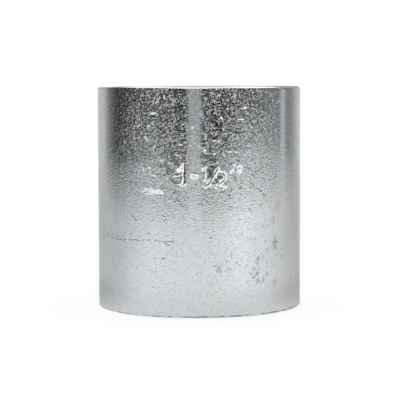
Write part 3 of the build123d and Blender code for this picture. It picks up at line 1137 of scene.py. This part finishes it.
studio = {
    "tableSize": 6.0,              # metres from its middle to a side
    "tableColour": 0.25,           # close to the coupling: how white its own shading is, and its glow
    "tableGlow": 0.75,
    "shadowReach": (0.07, 0.20),   # metres: the table's own shading gives way to plain white between these
    "tableFade": (0.92, 1.22),     # the mirrored table fades out between these shares of its edge's distance
    # Azimuth in degrees to the right of straight ahead, and how far the table's edge is there, in metres
    "tableEdge": [
        (-180, 0.55), (-120, 0.50), (-100, 0.50), (-80, 0.58), (-60, 0.62), (-48, 0.62), (-34, 0.51),
        (-20, 0.50), (-6, 0.47), (8, 0.48), (22, 0.51), (36, 0.67), (50, 0.82), (67, 0.79), (84, 0.72),
        (103, 0.69), (130, 0.59), (180, 0.55),
    ],
    # How bright the room is by azimuth near eye level
    "room": [
        (-180, 0.70), (-152, 0.66), (-143, 0.67), (-136, 0.68), (-130, 0.49), (-121, 0.22), (-108, 0.05),
        (-96, 0.03), (-81, 0.05), (-64, 0.08), (-48, 0.08), (-34, 0.04), (-20, 0.02), (22, 0.01),
        (36, 0.02), (51, 0.05), (67, 0.12), (84, 0.20), (103, 0.25), (127, 0.28), (136, 0.46),
        (144, 0.60), (155, 0.68), (168, 0.76), (180, 0.70),
    ],
    # The same for the table, painted light and shade in its colour and glow as the wall mirrors it
    "table": [
        (-180, 0.58), (-160, 0.60), (-140, 0.60), (-118, 0.70), (-100, 0.72), (-81, 0.87), (-64, 1.02),
        (-48, 1.12), (-34, 1.10), (-20, 1.08), (0, 1.06), (22, 1.12), (36, 1.20), (51, 1.18), (67, 1.07),
        (84, 0.93), (103, 0.77), (129, 0.61), (150, 0.60), (168, 0.64), (180, 0.58),
    ],
    # The same for the table right beside the coupling, with painted shade at its sides and behind
    "tableNear": [
        (-180, 0.46), (-140, 0.47), (-120, 0.52), (-100, 0.60), (-80, 0.75), (-60, 0.94), (-40, 1.01),
        (0, 0.98), (40, 0.98), (60, 0.91), (80, 0.73), (100, 0.60), (130, 0.51), (180, 0.48),
    ],
    "nearReach": (0.05, 0.10),
    "farLift": 1.13,               # painted light: its far part is lighter by this factor, between these azimuths (degrees)
    "farFrom": (-20, 26),
    "farUntil": (130, 90),
    "farReach": (0.15, 0.34),
    "gloom": 0.25,                 # share of the room's brightness that is left above eye level, in front
    "eyeLevel": (-0.6, 0.8),       # degrees up
    "behindFrom": (-0.35, 0.45),   # sideways and forward parts of a direction of length 1
    "rightFrom": (0.0, 0.6),
    "dimBehind": 0.45,             # the same share higher up behind, on the left
    "dimRight": 0.78,              # and on the right
    "dimAbove": (4.0, 12.0),
    "ceiling": 1.98,               # the light box overhead, and the dimmer opening in its middle
    "ceilingAbove": (34.0, 42.0),
    "zenith": 1.0,
    "zenithAbove": (60.0, 74.0),
    # Cards: azimuth, half width, softness of the edge (degrees), brightness
    "cards": [(-4.9, 7.4, 3.6, 0.47), (109, 4.4, 5.0, 0.65)],
}


def azimuthRamp(desk, azimuth, stops):
    # Brightness by azimuth, from stops in degrees
    ramp = desk.add("ShaderNodeValToRGB", {0: desk.span(azimuth, -math.pi, math.pi, smooth=False)})
    elements = ramp.color_ramp.elements
    while len(elements) < len(stops):
        elements.new(0.5)
    for element, (degrees, level) in zip(elements, stops):
        element.position = (degrees + 180) / 360
        element.color = (level, level, level, 1)
    return desk.add("ShaderNodeSeparateColor", {0: ramp.outputs["Color"]}).outputs[0]


def azimuthOf(desk, x, y):
    # The angle of a place or direction to the right of straight ahead
    return desk.math("ARCTAN2", x, desk.math("MULTIPLY", y, -1.0))


def makeWorld():
    # The room by azimuth and height, with its cards and its ceiling. The camera sees plain white instead
    world = bpy.data.worlds.new("studioRoom")
    bpy.context.scene.world = world
    world.use_nodes = True
    world.node_tree.nodes.clear()
    desk = NodeDesk(world.node_tree)
    direction = desk.add("ShaderNodeTexCoord").outputs["Generated"]
    x, y, z = desk.apart(direction)
    azimuth = azimuthOf(desk, x, y)
    elevation = desk.math("DEGREES", desk.math("ARCSINE", z))
    level = azimuthRamp(desk, azimuth, studio["room"])
    dim = desk.span(x, *studio["rightFrom"], studio["dimBehind"], studio["dimRight"])
    dim = desk.mix(desk.span(elevation, *studio["dimAbove"]), 1.0, dim)
    gloom = desk.mix(desk.span(y, *studio["behindFrom"]), studio["gloom"], dim)
    level = desk.mix(desk.span(elevation, *studio["eyeLevel"]), level, desk.math("MULTIPLY", level, gloom))
    for middle, half, soft, bright in studio["cards"]:
        away = desk.math("ABSOLUTE", desk.math("SUBTRACT", azimuth, math.radians(middle)))
        inside = desk.span(away, math.radians(half + soft / 2), math.radians(half - soft / 2))
        level = desk.mix(inside, level, bright)
    above = desk.span(elevation, *studio["zenithAbove"], studio["ceiling"], studio["zenith"])
    level = desk.mix(desk.span(elevation, *studio["ceilingAbove"]), level, above)
    seen = desk.add("ShaderNodeLightPath").outputs["Is Camera Ray"]
    level = desk.mix(seen, level, 1.0)
    background = desk.add("ShaderNodeBackground", {"Color": level, "Strength": 1.0})
    desk.add("ShaderNodeOutputWorld", {"Surface": background.outputs[0]})


def makeTable():
    # White paper that takes a soft shadow close to the coupling and glows plain white further out. In the
    # wall's mirror its colour and glow have the tones of the ramps, which are painted light and shade, and
    # it is clear beyond its edge
    half = studio["tableSize"]
    mesh = bpy.data.meshes.new("table")
    corners = [(-half, -half, 0), (half, -half, 0), (half, half, 0), (-half, half, 0)]
    mesh.from_pydata(corners, [], [(0, 1, 2, 3)])
    table = bpy.data.objects.new("table", mesh)
    bpy.context.scene.collection.objects.link(table)

    material, desk, place = newMaterial("whiteTable")
    x, y, z = desk.apart(place)
    azimuth = azimuthOf(desk, x, y)
    distance = desk.length(place)
    share = desk.math("DIVIDE", distance, azimuthRamp(desk, azimuth, studio["tableEdge"]))
    path = desk.add("ShaderNodeLightPath").outputs
    mirrored = desk.math("MAXIMUM", path["Is Glossy Ray"], path["Is Transmission Ray"])
    shown = desk.math("MAXIMUM", path["Is Camera Ray"], mirrored)

    plainWhite = desk.span(distance, *studio["shadowReach"])
    # Painted light and shade: the mirrored table's tone by azimuth and distance
    near, far = [azimuthRamp(desk, azimuth, studio[name]) for name in ("tableNear", "table")]
    lifted = desk.product(
        desk.span(desk.math("DEGREES", azimuth), *studio["farFrom"]),
        desk.span(desk.math("DEGREES", azimuth), *studio["farUntil"]),
        desk.span(distance, *studio["farReach"]),
    )
    far = desk.math("MULTIPLY", far, desk.mix(lifted, 1.0, studio["farLift"]))
    tone = desk.mix(mirrored, 1.0, desk.mix(desk.span(distance, *studio["nearReach"]), near, far))
    shade = desk.math("MULTIPLY", tone, desk.mix(plainWhite, studio["tableColour"], 0.0))
    paper = desk.add("ShaderNodeBsdfDiffuse", {"Color": shade})
    lift = desk.math("MULTIPLY", tone, desk.mix(plainWhite, studio["tableGlow"], 1.0))
    glow = desk.add("ShaderNodeEmission", {"Color": lift, "Strength": shown})
    lit = desk.add("ShaderNodeAddShader", {0: paper.outputs[0], 1: glow.outputs[0]})
    gone = desk.math("MULTIPLY", mirrored, desk.span(share, *studio["tableFade"]))
    clear = desk.add("ShaderNodeBsdfTransparent")
    surface = desk.add("ShaderNodeMixShader", {0: gone, 1: lit.outputs[0], 2: clear.outputs[0]})
    desk.add("ShaderNodeOutputMaterial", {"Surface": surface.outputs[0]})
    mesh.materials.append(material)


view = {
    "right": 0.2 * mm,             # of the axis
    "distance": 420 * mm,
    "height": 61.7 * mm,
    "down": math.radians(4.555),
    "roll": math.radians(0.177),
    "lens": 139.5,                 # in mm, for a sensor of 36 mm
}


def makeCamera():
    # It stands in front, a little above the upper end, and looks slightly down
    camera = bpy.data.cameras.new("camera")
    camera.lens = view["lens"]
    camera.sensor_width = 36.0
    camera.clip_start = 0.01
    camera.dof.use_dof = False
    holder = bpy.data.objects.new("camera", camera)
    holder.location = (view["right"], -view["distance"], view["height"])
    tilt = Matrix.Rotation(turn / 4 - view["down"], 3, "X")
    holder.rotation_euler = (tilt @ Matrix.Rotation(-view["roll"], 3, "Z")).to_euler()
    bpy.context.scene.collection.objects.link(holder)
    bpy.context.scene.camera = holder


makeWorld()
makeTable()
makeCamera()
bpy.context.scene.view_settings.view_transform = "Standard"
print("studio ready")
